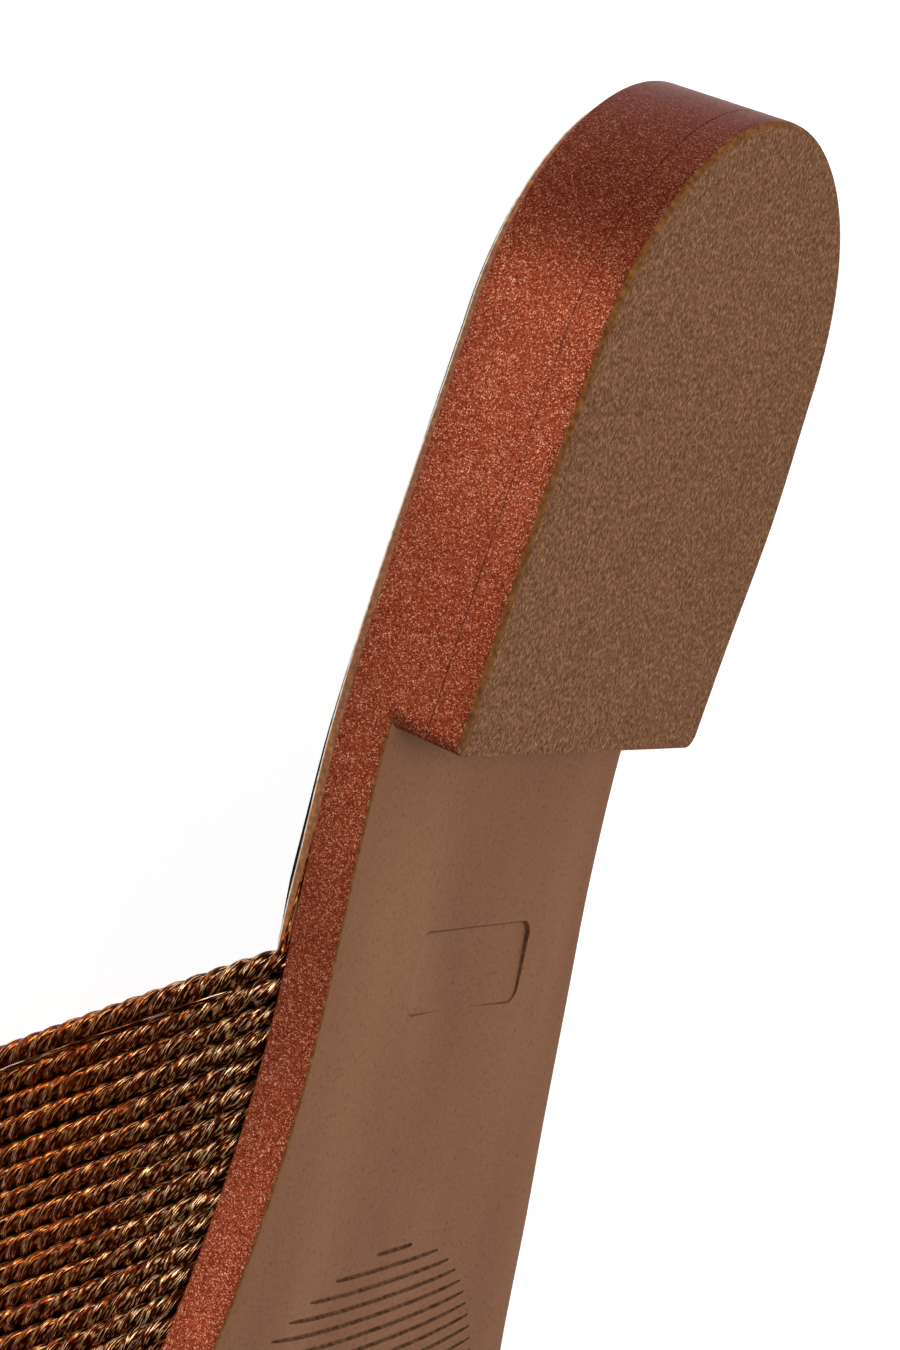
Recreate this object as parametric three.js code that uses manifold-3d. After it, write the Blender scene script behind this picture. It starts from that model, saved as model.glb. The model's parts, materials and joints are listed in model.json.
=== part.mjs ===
import * as THREE from 'three';
import Module from 'manifold-3d';
import { mergeVertices } from 'three/addons/utils/BufferGeometryUtils.js';
import { ConvexHull } from 'three/addons/math/ConvexHull.js';

// A flat slide slipper for the right foot, in millimetres. The shoe is modelled standing: x to the wearer's
// right, y from the back of the heel to the toe, z up from the ground. The group lies on its right side.

// Sole: length, widths and heights
const soleLength = 250;
const heelWidth = 58;
const ballWidth = 85;
const heelLength = 72.5;
const heelHeight = 16.1;
const shankHeight = 8.77;
const edgeHeight = 5.94;
const toeSpring = 4.5;
const toeSpringCurve = 1.8;
const topLiftThickness = 4.3;
const outsoleThickness = 1.8;
const heelBackDepth = 30;
const toeCapLength = 64;
const toeFullness = 2.2;
const edgeRounding = 0.45;
const clearance = 0.3;

// Plaque on the shank, a shallow recess left bare
const plaqueWidth = 25.8;
const plaqueLength = 9.9;
const plaqueCorner = 2;
const plaqueDepth = 0.45;
const plaqueFromBreast = 28.2;
const plaqueShift = 2.1;

// Insole
const insoleThickness = 1.7;
const insoleInset = 1.5;
const insoleBlend = 9;
const insoleMargin = 1;

// Upper: one band of cords side by side on a backing
const cordCount = 28;
const backingThickness = 1.2;
const cordRise = 1.0;
const bandInset = 0.35;
const bandBulge = 3.2;
const bandRearFoot = 98.5;
const bandFootLength = 80;
const bandRearLean = 0.78;
const bandFrontLean = 0.95;
const bandRearHeight = 53;
const bandFullness = 2.35;
const ridgeShift = 3;

// Facets: steps along the sole and around the band
const heelSteps = 8;
const middleSteps = 17;
const toeSteps = 12;
const archSteps = 26;

// Outline of the sole. at: share of the sole's length; size: the width that the row follows;
// half: half the width there, and centre: how far its middle lies to the right, both as shares of that width
const outlineRows = [
  { at: 0.12, size: heelWidth, half: 0.483, centre: 0.003 },
  { at: 0.18, size: heelWidth, half: 0.5, centre: -0.001 },
  { at: 0.24, size: heelWidth, half: 0.495, centre: -0.016 },
  { at: 0.3, size: heelWidth, half: 0.492, centre: -0.026 },
  { at: 0.36, size: heelWidth, half: 0.491, centre: -0.037 },
  { at: 0.42, size: heelWidth, half: 0.5, centre: -0.031 },
  { at: 0.48, size: heelWidth, half: 0.525, centre: -0.03 },
  { at: 0.54, size: ballWidth, half: 0.39, centre: -0.024 },
  { at: 0.6, size: ballWidth, half: 0.43, centre: -0.035 },
  { at: 0.66, size: ballWidth, half: 0.472, centre: -0.045 },
  { at: 0.71, size: ballWidth, half: 0.498, centre: -0.053 },
  { at: 0.76, size: ballWidth, half: 0.5, centre: -0.059 },
  { at: 0.85, size: ballWidth, half: 0.5, centre: -0.08 },
  { at: 1, size: ballWidth, half: 0.5, centre: -0.12 },
];

// Underside in front of the heel. at: share of the sole's length; shank: share of the shank's height
const undersideRows = [
  { at: 0.17, shank: 1 },
  { at: 0.29, shank: 1 },
  { at: 0.36, shank: 0.8 },
  { at: 0.448, shank: 0.535 },
  { at: 0.53, shank: 0.35 },
  { at: 0.6, shank: 0.235 },
  { at: 0.66, shank: 0.09 },
  { at: 0.7, shank: 0 },
  { at: 0.83, shank: 0 },
];

// Height of the band over the footbed. at: from rear edge to front edge; share: of the height at the rear
const bandHeightRows = [
  { at: 0, share: 1 },
  { at: 0.25, share: 0.85 },
  { at: 0.5, share: 0.725 },
  { at: 0.75, share: 0.625 },
  { at: 1, share: 0.545 },
];

// Profile of one cord. at: across the cord; rise: share of the cord's rise over the backing
const cordProfileRows = [
  { at: 0, rise: 0 },
  { at: 0.2, rise: 0.78 },
  { at: 0.5, rise: 1 },
  { at: 0.8, rise: 0.78 },
];

const wasm = await Module();
wasm.setup();

// Smooth curve through a table's column, with the column's end values beyond its ends
function interpolate(rows, place, value, at) {
  const last = rows.length - 1;
  if (at <= place(rows[0])) return value(rows[0]);
  if (at >= place(rows[last])) return value(rows[last]);
  let i = 0;
  while (place(rows[i + 1]) < at) i += 1;
  const slope = (k) => {
    const before = Math.max(k - 1, 0);
    const after = Math.min(k + 1, last);
    return (value(rows[after]) - value(rows[before])) / (place(rows[after]) - place(rows[before]));
  };
  const span = place(rows[i + 1]) - place(rows[i]);
  const t = (at - place(rows[i])) / span;
  const t2 = t * t;
  const t3 = t2 * t;
  return (2 * t3 - 3 * t2 + 1) * value(rows[i]) + (t3 - 2 * t2 + t) * span * slope(i)
    + (3 * t2 - 2 * t3) * value(rows[i + 1]) + (t3 - t2) * span * slope(i + 1);
}

function soleCentre(y) {
  return interpolate(outlineRows, (row) => row.at * soleLength, (row) => row.centre * row.size, y);
}

// Half the sole's width, rounded off as an ellipse at the heel and at the toe
function soleHalf(y) {
  const half = interpolate(outlineRows, (row) => row.at * soleLength, (row) => row.half * row.size, y);
  const back = Math.max(0, 1 - y / heelBackDepth);
  const front = Math.max(0, 1 - (soleLength - y) / toeCapLength);
  return half * Math.sqrt(Math.max(0, 1 - back ** 2)) * Math.sqrt(Math.max(0, 1 - front ** toeFullness));
}

function underside(y) {
  const shank = interpolate(undersideRows, (row) => row.at * soleLength, (row) => row.shank * shankHeight, y);
  const flatEnd = undersideRows[undersideRows.length - 1].at * soleLength;
  const toe = Math.max(0, (y - flatEnd) / (soleLength - flatEnd));
  return shank + toeSpring * toe ** toeSpringCurve;
}

function footbed(y) {
  const backRise = heelHeight - shankHeight - edgeHeight;
  return underside(y) + edgeHeight + backRise * Math.max(0, 1 - y / heelLength);
}

// Places along the foot where the sole's solids have a section, close together at the rounded ends
function stations(from, to) {
  const quarter = Math.PI / 2;
  const frontStart = soleLength - toeCapLength;
  const places = [];
  for (let i = 0; i < heelSteps; i += 1) {
    places.push(heelBackDepth * (1 - Math.cos((i / heelSteps) * quarter)));
  }
  for (let i = 0; i < middleSteps; i += 1) {
    places.push(heelBackDepth + (i / middleSteps) * (frontStart - heelBackDepth));
  }
  for (let i = 0; i <= toeSteps; i += 1) {
    places.push(frontStart + toeCapLength * Math.sin((i / toeSteps) * quarter));
  }
  const inside = places.filter((y) => y > from + 1 && y < to - 1);
  return [from, ...inside, to];
}

// Left and right points of the outline at each station, moved inward along the outline's normal
function outline(places, inset) {
  const left = places.map((y) => new THREE.Vector2(soleCentre(y) - soleHalf(y), y));
  const right = places.map((y) => new THREE.Vector2(soleCentre(y) + soleHalf(y), y));
  const around = [...left, ...right.reverse()];
  const loop = around.filter((p, i) => i === 0 || p.distanceTo(around[i - 1]) > 1e-6);
  if (loop[0].distanceTo(loop[loop.length - 1]) < 1e-6) loop.pop();
  const moved = loop.map((p, i) => {
    const next = loop[(i + 1) % loop.length];
    const previous = loop[(i + loop.length - 1) % loop.length];
    const along = next.clone().sub(previous).normalize();
    return new THREE.Vector2(p.x + along.y * inset(p.y), p.y - along.x * inset(p.y));
  });
  const pointedBack = left[0].distanceTo(right[right.length - 1]) < 1e-6;
  const pointedFront = left[left.length - 1].distanceTo(right[0]) < 1e-6;
  const movedLeft = moved.slice(0, places.length);
  const movedRight = moved.slice(places.length - (pointedFront ? 1 : 0)).reverse();
  if (pointedBack) movedRight.unshift(movedLeft[0]);
  return { left: movedLeft, right: movedRight };
}

// A closed shell from quads, without the triangles that shrink to a line at pointed ends
function shell(quads) {
  const positions = [];
  const triangle = (a, b, c) => {
    const area = new THREE.Triangle(a, b, c).getArea();
    if (area > 1e-7) positions.push(...a, ...b, ...c);
  };
  for (const [a, b, c, d] of quads) {
    triangle(a, b, c);
    triangle(a, c, d);
  }
  const geometry = new THREE.BufferGeometry();
  geometry.setAttribute('position', new THREE.Float32BufferAttribute(positions, 3));
  return geometry;
}

// A plate between a lower and an upper surface, its edge rounded by a small bevel at both
function plate({ from, to, lower, upper, inset = () => 0, extra = [] }) {
  const places = [...stations(from, to), ...extra].sort((a, b) => a - b);
  const layerOf = (more, height) => {
    const { left, right } = outline(places, (y) => inset(y) + more);
    const lift = (p) => new THREE.Vector3(p.x, p.y, height(p.y));
    return { left: left.map(lift), right: right.map(lift) };
  };
  const layers = [
    layerOf(edgeRounding, lower),
    layerOf(0, (y) => lower(y) + edgeRounding),
    layerOf(0, (y) => upper(y) - edgeRounding),
    layerOf(edgeRounding, upper),
  ];
  const quads = [];
  const top = layers[layers.length - 1];
  const bottom = layers[0];
  for (let i = 0; i < places.length - 1; i += 1) {
    quads.push([bottom.left[i], bottom.left[i + 1], bottom.right[i + 1], bottom.right[i]]);
    quads.push([top.left[i], top.right[i], top.right[i + 1], top.left[i + 1]]);
  }
  for (let j = 0; j < layers.length - 1; j += 1) {
    const a = layers[j];
    const b = layers[j + 1];
    const end = places.length - 1;
    for (let i = 0; i < end; i += 1) {
      quads.push([a.left[i], b.left[i], b.left[i + 1], a.left[i + 1]]);
      quads.push([a.right[i], a.right[i + 1], b.right[i + 1], b.right[i]]);
    }
    quads.push([a.left[0], a.right[0], b.right[0], b.left[0]]);
    quads.push([a.left[end], b.left[end], b.right[end], a.right[end]]);
  }
  return shell(quads);
}

function toManifold(geometry) {
  const bare = geometry.clone();
  bare.deleteAttribute('normal');
  bare.deleteAttribute('uv');
  const merged = mergeVertices(bare, 1e-5);
  const vertProperties = new Float32Array(merged.attributes.position.array);
  const triVerts = new Uint32Array(merged.index.array);
  return new wasm.Manifold(new wasm.Mesh({ numProp: 3, vertProperties, triVerts }));
}

function fromManifold(solid) {
  const mesh = solid.getMesh();
  const geometry = new THREE.BufferGeometry();
  geometry.setAttribute('position', new THREE.Float32BufferAttribute(mesh.vertProperties, 3));
  geometry.setIndex(new THREE.Uint32BufferAttribute(mesh.triVerts, 1));
  return geometry;
}

// Brown sheet from the heel's breast to the toe, with the plaque's recess cut into it
function outsole() {
  const sheet = plate({
    from: heelLength + 2 * clearance,
    to: soleLength,
    lower: underside,
    upper: (y) => underside(y) + outsoleThickness,
  });
  const centreY = heelLength + plaqueFromBreast;
  const halfLength = plaqueLength / 2;
  const cornerX = plaqueWidth / 2 - plaqueCorner;
  const cornerY = halfLength - plaqueCorner;
  const quarter = Math.PI / 2;
  const shape = new THREE.Shape();
  shape.absarc(cornerX, cornerY, plaqueCorner, 0, quarter);
  shape.absarc(-cornerX, cornerY, plaqueCorner, quarter, 2 * quarter);
  shape.absarc(-cornerX, -cornerY, plaqueCorner, 2 * quarter, 3 * quarter);
  shape.absarc(cornerX, -cornerY, plaqueCorner, 3 * quarter, 4 * quarter);
  const cut = { depth: 2 * plaqueDepth, bevelEnabled: false, curveSegments: 4 };
  const cutter = new THREE.ExtrudeGeometry(shape, cut);
  cutter.translate(0, 0, -plaqueDepth);
  const slope = (underside(centreY + halfLength) - underside(centreY - halfLength)) / plaqueLength;
  cutter.rotateX(Math.atan(slope));
  cutter.translate(soleCentre(centreY) + plaqueShift, centreY, underside(centreY));
  return fromManifold(toManifold(sheet).subtract(toManifold(cutter)));
}

// Wrapped board under the whole foot, one piece with the heel block, with a step down at the breast
function heelAndMidsole() {
  const overOutsole = (y) => underside(y) + outsoleThickness + clearance;
  return plate({
    from: 0,
    to: soleLength,
    lower: (y) => (y <= heelLength ? topLiftThickness + clearance : overOutsole(y)),
    upper: footbed,
    extra: [heelLength, heelLength + clearance],
  });
}

function heelTopLift() {
  return plate({
    from: 0,
    to: heelLength,
    lower: () => 0,
    upper: () => topLiftThickness,
  });
}

// The insole draws in between the feet of the band, which stand on the midsole beside it
function insole() {
  const besideBand = bandInset + backingThickness + cordRise + clearance;
  const rear = bandRearFoot;
  const front = bandRearFoot + bandFootLength;
  const inset = (y) => {
    const outside = Math.max(rear - insoleMargin - y, y - front - insoleMargin, 0);
    const share = Math.min(1, outside / insoleBlend);
    const blend = share * share * (3 - 2 * share);
    return besideBand + (insoleInset - besideBand) * blend;
  };
  return plate({
    from: 0,
    to: soleLength,
    lower: (y) => footbed(y) + clearance,
    upper: (y) => footbed(y) + clearance + insoleThickness,
    inset,
    extra: [rear - insoleBlend / 2, rear - insoleMargin, front + insoleMargin, front + insoleBlend / 2],
  });
}

// Point of the backing's outer face. across: 0 at the rear edge to 1 at the front edge;
// around: 0 at the left foot of the band, over the ridge, to 1 at its right foot
function bandPoint(across, around) {
  const footY = bandRearFoot + bandFootLength * across;
  const footZ = footbed(footY) + clearance;
  const height = bandRearHeight * interpolate(bandHeightRows, (row) => row.at, (row) => row.share, across);
  const lean = bandRearLean + (bandFrontLean - bandRearLean) * across;
  const angle = Math.PI * around;
  const up = Math.sin(angle) ** (2 / bandFullness);
  const side = -Math.sign(Math.cos(angle)) * Math.abs(Math.cos(angle)) ** (2 / bandFullness);
  const halfWidth = soleHalf(footY) - bandInset - cordRise + bandBulge * 4 * up * (1 - up);
  const x = soleCentre(footY) - ridgeShift * up ** 2 + side * halfWidth;
  return new THREE.Vector3(x, footY + lean * height * up, footZ + height * up);
}

function bandNormal(across, around) {
  const step = 0.004;
  const a0 = Math.max(0, across - step);
  const a1 = Math.min(1, across + step);
  const r0 = Math.max(0, around - step);
  const r1 = Math.min(1, around + step);
  const alongCord = bandPoint(across, r1).sub(bandPoint(across, r0));
  const acrossCords = bandPoint(a1, around).sub(bandPoint(a0, around));
  const normal = alongCord.cross(acrossCords).normalize();
  if (around === 0 || around === 1) normal.setZ(0).normalize();
  return normal;
}

// One wall: cords raised on the outside, plain inside, with a rolled edge at the rear and at the front
function upper() {
  const facetsPerCord = cordProfileRows.length;
  const rings = [];
  for (let i = 0; i <= archSteps; i += 1) {
    const around = i / archSteps;
    const out = (across, rise) => {
      const normal = bandNormal(across, around);
      return bandPoint(across, around).addScaledVector(normal, rise);
    };
    const outer = [];
    for (let cord = 0; cord < cordCount; cord += 1) {
      for (const row of cordProfileRows) outer.push(out((cord + row.at) / cordCount, row.rise * cordRise));
    }
    outer.push(out(1, 0));
    const inner = [];
    for (let cord = 0; cord <= cordCount; cord += 1) inner.push(out(cord / cordCount, -backingThickness));
    rings.push({ outer, inner });
  }
  const quads = [];
  for (let i = 0; i < archSteps; i += 1) {
    const a = rings[i];
    const b = rings[i + 1];
    for (let k = 0; k < a.outer.length - 1; k += 1) {
      quads.push([a.outer[k], b.outer[k], b.outer[k + 1], a.outer[k + 1]]);
    }
    for (let k = 0; k < cordCount; k += 1) {
      quads.push([a.inner[k], a.inner[k + 1], b.inner[k + 1], b.inner[k]]);
    }
    const end = a.outer.length - 1;
    quads.push([a.inner[0], b.inner[0], b.outer[0], a.outer[0]]);
    quads.push([a.outer[end], b.outer[end], b.inner[cordCount], a.inner[cordCount]]);
  }
  const half = facetsPerCord / 2;
  const foot = ({ outer, inner }, flip) => {
    for (let cord = 0; cord < cordCount; cord += 1) {
      const o = outer.slice(cord * facetsPerCord, (cord + 1) * facetsPerCord + 1);
      const near = [inner[cord], ...o.slice(0, half + 1)];
      const far = [inner[cord], o[half], inner[cord + 1]];
      const last = [inner[cord + 1], ...o.slice(half)];
      for (const fan of [near, far, last]) {
        for (let k = 1; k < fan.length - 1; k += 1) {
          const [p, q, r] = [fan[0], fan[k], fan[k + 1]];
          quads.push(flip ? [p, r, q, q] : [p, q, r, r]);
        }
      }
    }
  };
  foot(rings[0], false);
  foot(rings[archSteps], true);
  return shell(quads);
}

function named(name, geometry, color, roughness, metalness) {
  geometry.computeVertexNormals();
  const mesh = new THREE.Mesh(geometry, new THREE.MeshStandardMaterial({ color, roughness, metalness }));
  mesh.name = name;
  return mesh;
}

const shoe = new THREE.Group();
shoe.add(
  named('heel_top_lift', heelTopLift(), 0x826048, 0.9, 0),
  named('heel_and_midsole', heelAndMidsole(), 0xa04832, 0.45, 0.6),
  named('outsole', outsole(), 0x805a42, 0.85, 0),
  named('insole', insole(), 0x8a5a34, 0.8, 0),
  named('upper', upper(), 0x693a14, 0.5, 0.5),
);

function corners(mesh) {
  const position = mesh.geometry.attributes.position;
  const index = mesh.geometry.index;
  const count = index ? index.count : position.count;
  const points = [];
  for (let i = 0; i < count; i += 1) {
    points.push(new THREE.Vector3().fromBufferAttribute(position, index ? index.getX(i) : i));
  }
  return points;
}

// Centre of volume of all the pieces
function balancePoint(meshes) {
  const sum = new THREE.Vector3();
  let volume = 0;
  for (const mesh of meshes) {
    const points = corners(mesh);
    for (let i = 0; i < points.length; i += 3) {
      const [a, b, c] = points.slice(i, i + 3);
      const sixth = a.dot(new THREE.Vector3().crossVectors(b, c)) / 6;
      volume += sixth;
      sum.addScaledVector(a.clone().add(b).add(c), sixth / 4);
    }
  }
  return sum.divideScalar(volume);
}

// Direction down to the floor when the shoe lies on its right side: the face of its hull, among those that
// the balance point stands over, that brings that point lowest
function restingSide(meshes) {
  const balance = balancePoint(meshes);
  const hull = new ConvexHull().setFromPoints(meshes.flatMap(corners));
  let best = null;
  for (const face of hull.faces) {
    if (face.normal.x < 0.8) continue;
    const foot = balance.clone().addScaledVector(face.normal, -face.distanceToPoint(balance));
    const [a, b, c] = [face.getEdge(0), face.getEdge(1), face.getEdge(2)].map((edge) => edge.head().point);
    if (!new THREE.Triangle(a, b, c).containsPoint(foot)) continue;
    const height = -face.distanceToPoint(balance);
    if (!best || height < best.height) best = { height, normal: face.normal.clone() };
  }
  return best.normal;
}

const down = restingSide(shoe.children);
const up = down.clone().negate();
const toeward = new THREE.Vector3(0, 1, 0).projectOnPlane(up).normalize();
const across = new THREE.Vector3().crossVectors(toeward, up);
const turn = new THREE.Matrix4().makeBasis(across, toeward, up).transpose();
shoe.setRotationFromMatrix(turn);
shoe.updateMatrixWorld(true);
const box = new THREE.Box3().setFromObject(shoe, true);
const middle = box.getCenter(new THREE.Vector3());
shoe.position.set(-middle.x, -middle.y, -box.min.z);

const slipper = new THREE.Group();
slipper.add(shoe);

export default slipper;
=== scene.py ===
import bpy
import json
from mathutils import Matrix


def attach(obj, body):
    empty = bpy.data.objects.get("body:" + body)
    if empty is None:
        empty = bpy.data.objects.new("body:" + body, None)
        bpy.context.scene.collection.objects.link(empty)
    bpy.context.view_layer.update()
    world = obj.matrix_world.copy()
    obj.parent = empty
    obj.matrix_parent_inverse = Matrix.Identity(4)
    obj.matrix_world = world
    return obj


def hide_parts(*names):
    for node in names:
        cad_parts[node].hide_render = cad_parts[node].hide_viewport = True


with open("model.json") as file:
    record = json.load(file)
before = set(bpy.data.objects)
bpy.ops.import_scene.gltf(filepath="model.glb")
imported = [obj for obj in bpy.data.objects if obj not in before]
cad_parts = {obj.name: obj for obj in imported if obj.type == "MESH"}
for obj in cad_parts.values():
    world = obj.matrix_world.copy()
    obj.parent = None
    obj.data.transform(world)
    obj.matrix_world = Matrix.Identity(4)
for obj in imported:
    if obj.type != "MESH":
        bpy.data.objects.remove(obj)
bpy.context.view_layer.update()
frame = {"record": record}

import json
import math
import bpy
import numpy as np
from mathutils import Matrix, Vector

# The slipper lies on its right side. Its sizes are measured as it stands: x to the wearer's right, y from the
# back of the heel to the toe, z up from the ground, in millimetres. The flat spots under heel and ball, which
# the record states, give the way from there to the frame that the solids are in.
MM = 0.001
HEEL_TREAD = Vector((0, 36, 0))
FOREFOOT_TREAD = Vector((-4, 190, 0))
mounts = {mount["name"]: mount for mount in frame["record"]["mounts"]}
up = -Vector(mounts["heel_tread"]["axis"]).normalized()
heel_spot = Vector(mounts["heel_tread"]["pos_m"])
along_tread = (Vector(mounts["forefoot_tread"]["pos_m"]) - heel_spot).normalized()
across_tread = along_tread.cross(up).normalized()
swing = math.atan2(HEEL_TREAD.x - FOREFOOT_TREAD.x, FOREFOOT_TREAD.y - HEEL_TREAD.y)
right = across_tread * math.cos(swing) - along_tread * math.sin(swing)
forward = along_tread * math.cos(swing) + across_tread * math.sin(swing)
standing = Matrix((right, forward, up)).transposed().to_4x4()
standing.translation = heel_spot - forward * HEEL_TREAD.y * MM


def at(point):
    """A point measured on the standing slipper in millimetres, as a place in the solids' frame in metres."""
    return standing @ (Vector(point) * MM)


# The camera looks up at the sole from the left and a little behind the heel, near enough for a strong
# perspective. The heel is at the top of the picture. Toe and band run out of it at the bottom and the left.
CAMERA_PLACE = (-394.1, -4.3, -184.8)
CAMERA_LOOKS_AT = (-18.9, 66.9, 9.6)
PICTURE_UP = (0, -0.9388, 0.3444)
IMAGE_HEIGHT_PX = 1350
FOCAL_LENGTH_PX = 3985

camera_data = bpy.data.cameras.new("photo_camera")
camera_data.sensor_width = 36
camera_data.lens = FOCAL_LENGTH_PX / IMAGE_HEIGHT_PX * camera_data.sensor_width
camera_data.clip_start = 0.01
camera_data.clip_end = 20
camera = bpy.data.objects.new("photo_camera", camera_data)
bpy.context.scene.collection.objects.link(camera)
looking = (at(CAMERA_LOOKS_AT) - at(CAMERA_PLACE)).normalized()
side = looking.cross(standing.to_3x3() @ Vector(PICTURE_UP)).normalized()
camera.matrix_world = Matrix((side, side.cross(looking), -looking)).transposed().to_4x4()
camera.matrix_world.translation = at(CAMERA_PLACE)
bpy.context.scene.camera = camera

# Heel block and midsole are one board under the whole foot with a low stacked heel, wrapped and sprayed
# copper. The coat is a satin metallic paint full of fine flakes. It runs down over the edges of outsole and
# top lift, round the heel's breast and a little over the footbed.
SOLE_LENGTH = 250
HEEL_WIDTH = 58
BALL_WIDTH = 85
HEEL_LENGTH = 72.5
HEEL_HEIGHT = 16.1
SHANK_HEIGHT = 8.77
EDGE_HEIGHT = 5.94
TOE_SPRING = 4.5
TOE_SPRING_CURVE = 1.8
TOP_LIFT_THICKNESS = 4.45
OUTSOLE_THICKNESS = 1.8
HEEL_BACK_DEPTH = 30
TOE_CAP_LENGTH = 64
TOE_FULLNESS = 2.2
FOOTBED_ROUNDING = 0.28
SEAM_DEPTH = 0.11
# radius of the heel's left and right front corner at the ground, and how much it grows up to the shank
BREAST_CORNER = {-1: 0.8, 1: 1.7}
BREAST_CORNER_GROWTH = 1.0
# how far the heel block's top is above the shank's height, and how far it overlaps the midsole there
BLOCK_RISE = 1.3
BLOCK_OVERLAP = 0.02

# share of the length, width that the row follows, half width and middle as shares of it
OUTLINE = [
    (0.12, HEEL_WIDTH, 0.483, 0.003),
    (0.18, HEEL_WIDTH, 0.5, -0.001),
    (0.24, HEEL_WIDTH, 0.495, -0.016),
    (0.3, HEEL_WIDTH, 0.492, -0.026),
    (0.36, HEEL_WIDTH, 0.491, -0.037),
    (0.42, HEEL_WIDTH, 0.5, -0.031),
    (0.48, HEEL_WIDTH, 0.525, -0.03),
    (0.54, BALL_WIDTH, 0.39, -0.024),
    (0.6, BALL_WIDTH, 0.43, -0.035),
    (0.66, BALL_WIDTH, 0.472, -0.045),
    (0.71, BALL_WIDTH, 0.498, -0.053),
    (0.76, BALL_WIDTH, 0.5, -0.059),
    (0.85, BALL_WIDTH, 0.5, -0.08),
    (1, BALL_WIDTH, 0.5, -0.12),
]
# share of the length, share of the shank's height
UNDERSIDE = [
    (0.17, 1), (0.29, 1), (0.36, 0.8), (0.448, 0.535), (0.53, 0.35),
    (0.6, 0.235), (0.66, 0.09), (0.7, 0), (0.83, 0),
]

# how finely the sole pieces are cut: sections at the back, in the middle and at the toe, extra ones this far
# behind the heel's breast, round its corners, and the least step at a piece's ends
BACK_SECTIONS = 30
MIDDLE_SECTIONS = 64
TOE_SECTIONS = 36
BREAST_STEPS = (0.1, 0.35, 0.8, 1.4, 2.1, 2.9)
LEAST_STEP = 0.02
RIM_LEVELS = 4
BLOCK_LEVELS = 8
SOLE_CREASE = math.radians(32)
SAME_POINT_M = 2e-6


def through(places, values, where):
    """A smooth curve through a table's values, level beyond its ends."""
    places = np.array(places, float)
    values = np.array(values, float)
    where = np.clip(np.asarray(where, float), places[0], places[-1])
    last = len(places) - 1
    before = np.maximum(np.arange(last + 1) - 1, 0)
    after = np.minimum(np.arange(last + 1) + 1, last)
    slopes = (values[after] - values[before]) / (places[after] - places[before])
    i = np.clip(np.searchsorted(places, where) - 1, 0, last - 1)
    span = places[i + 1] - places[i]
    t = (where - places[i]) / span
    return (
        (2 * t**3 - 3 * t**2 + 1) * values[i]
        + (t**3 - 2 * t**2 + t) * span * slopes[i]
        + (3 * t**2 - 2 * t**3) * values[i + 1]
        + (t**3 - t**2) * span * slopes[i + 1]
    )


def sole_centre(y):
    return through([row[0] * SOLE_LENGTH for row in OUTLINE], [row[3] * row[1] for row in OUTLINE], y)


def sole_half(y):
    half = through([row[0] * SOLE_LENGTH for row in OUTLINE], [row[2] * row[1] for row in OUTLINE], y)
    back = np.clip(1 - y / HEEL_BACK_DEPTH, 0, 1)
    front = np.clip(1 - (SOLE_LENGTH - y) / TOE_CAP_LENGTH, 0, 1)
    return half * np.sqrt(1 - back**2) * np.sqrt(1 - front**TOE_FULLNESS)


def underside(y):
    y = np.asarray(y, float)
    shares, heights = np.array(UNDERSIDE).T
    shank = through(shares * SOLE_LENGTH, heights * SHANK_HEIGHT, y)
    flat_end = UNDERSIDE[-1][0] * SOLE_LENGTH
    toe = np.clip((y - flat_end) / (SOLE_LENGTH - flat_end), 0, 1)
    return shank + TOE_SPRING * toe**TOE_SPRING_CURVE


def footbed(y):
    back_rise = HEEL_HEIGHT - SHANK_HEIGHT - EDGE_HEIGHT
    return underside(y) + EDGE_HEIGHT + back_rise * np.clip(1 - np.asarray(y, float) / HEEL_LENGTH, 0, 1)


def stations(start, end):
    """Places along the foot for the sections of a sole piece, close together at the rounded ends."""
    back = HEEL_BACK_DEPTH * (1 - np.cos(np.linspace(0, math.pi / 2, BACK_SECTIONS)))
    toe_start = SOLE_LENGTH - TOE_CAP_LENGTH
    middle = np.linspace(HEEL_BACK_DEPTH, toe_start, MIDDLE_SECTIONS)
    toe = toe_start + TOE_CAP_LENGTH * np.sin(np.linspace(0, math.pi / 2, TOE_SECTIONS))
    ends = [start, end] + [end - step for step in BREAST_STEPS if end < SOLE_LENGTH]
    sections = np.concatenate([back, middle, toe])
    inside = [y for y in sections if start + LEAST_STEP < y < end - LEAST_STEP]
    return np.array(sorted(set(np.round(inside + ends, 5))))


def unit(vectors):
    return vectors / np.linalg.norm(vectors, axis=-1, keepdims=True)


def outline(places, insets):
    """Left and right edge of the sole at those places, each moved inward along its normal."""
    moved = []
    for side, inset in zip((-1, 1), insets):
        edge = np.stack([sole_centre(places) + side * sole_half(places), places], 1)
        step = unit(np.gradient(edge, axis=0))
        normal = np.stack([-step[:, 1], step[:, 0]], 1) * side
        if places[0] == 0:
            normal[0] = (0, 1)
        if places[-1] == SOLE_LENGTH:
            normal[-1] = (0, -1)
        moved.append(edge + normal * inset[:, None])
    return moved


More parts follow.
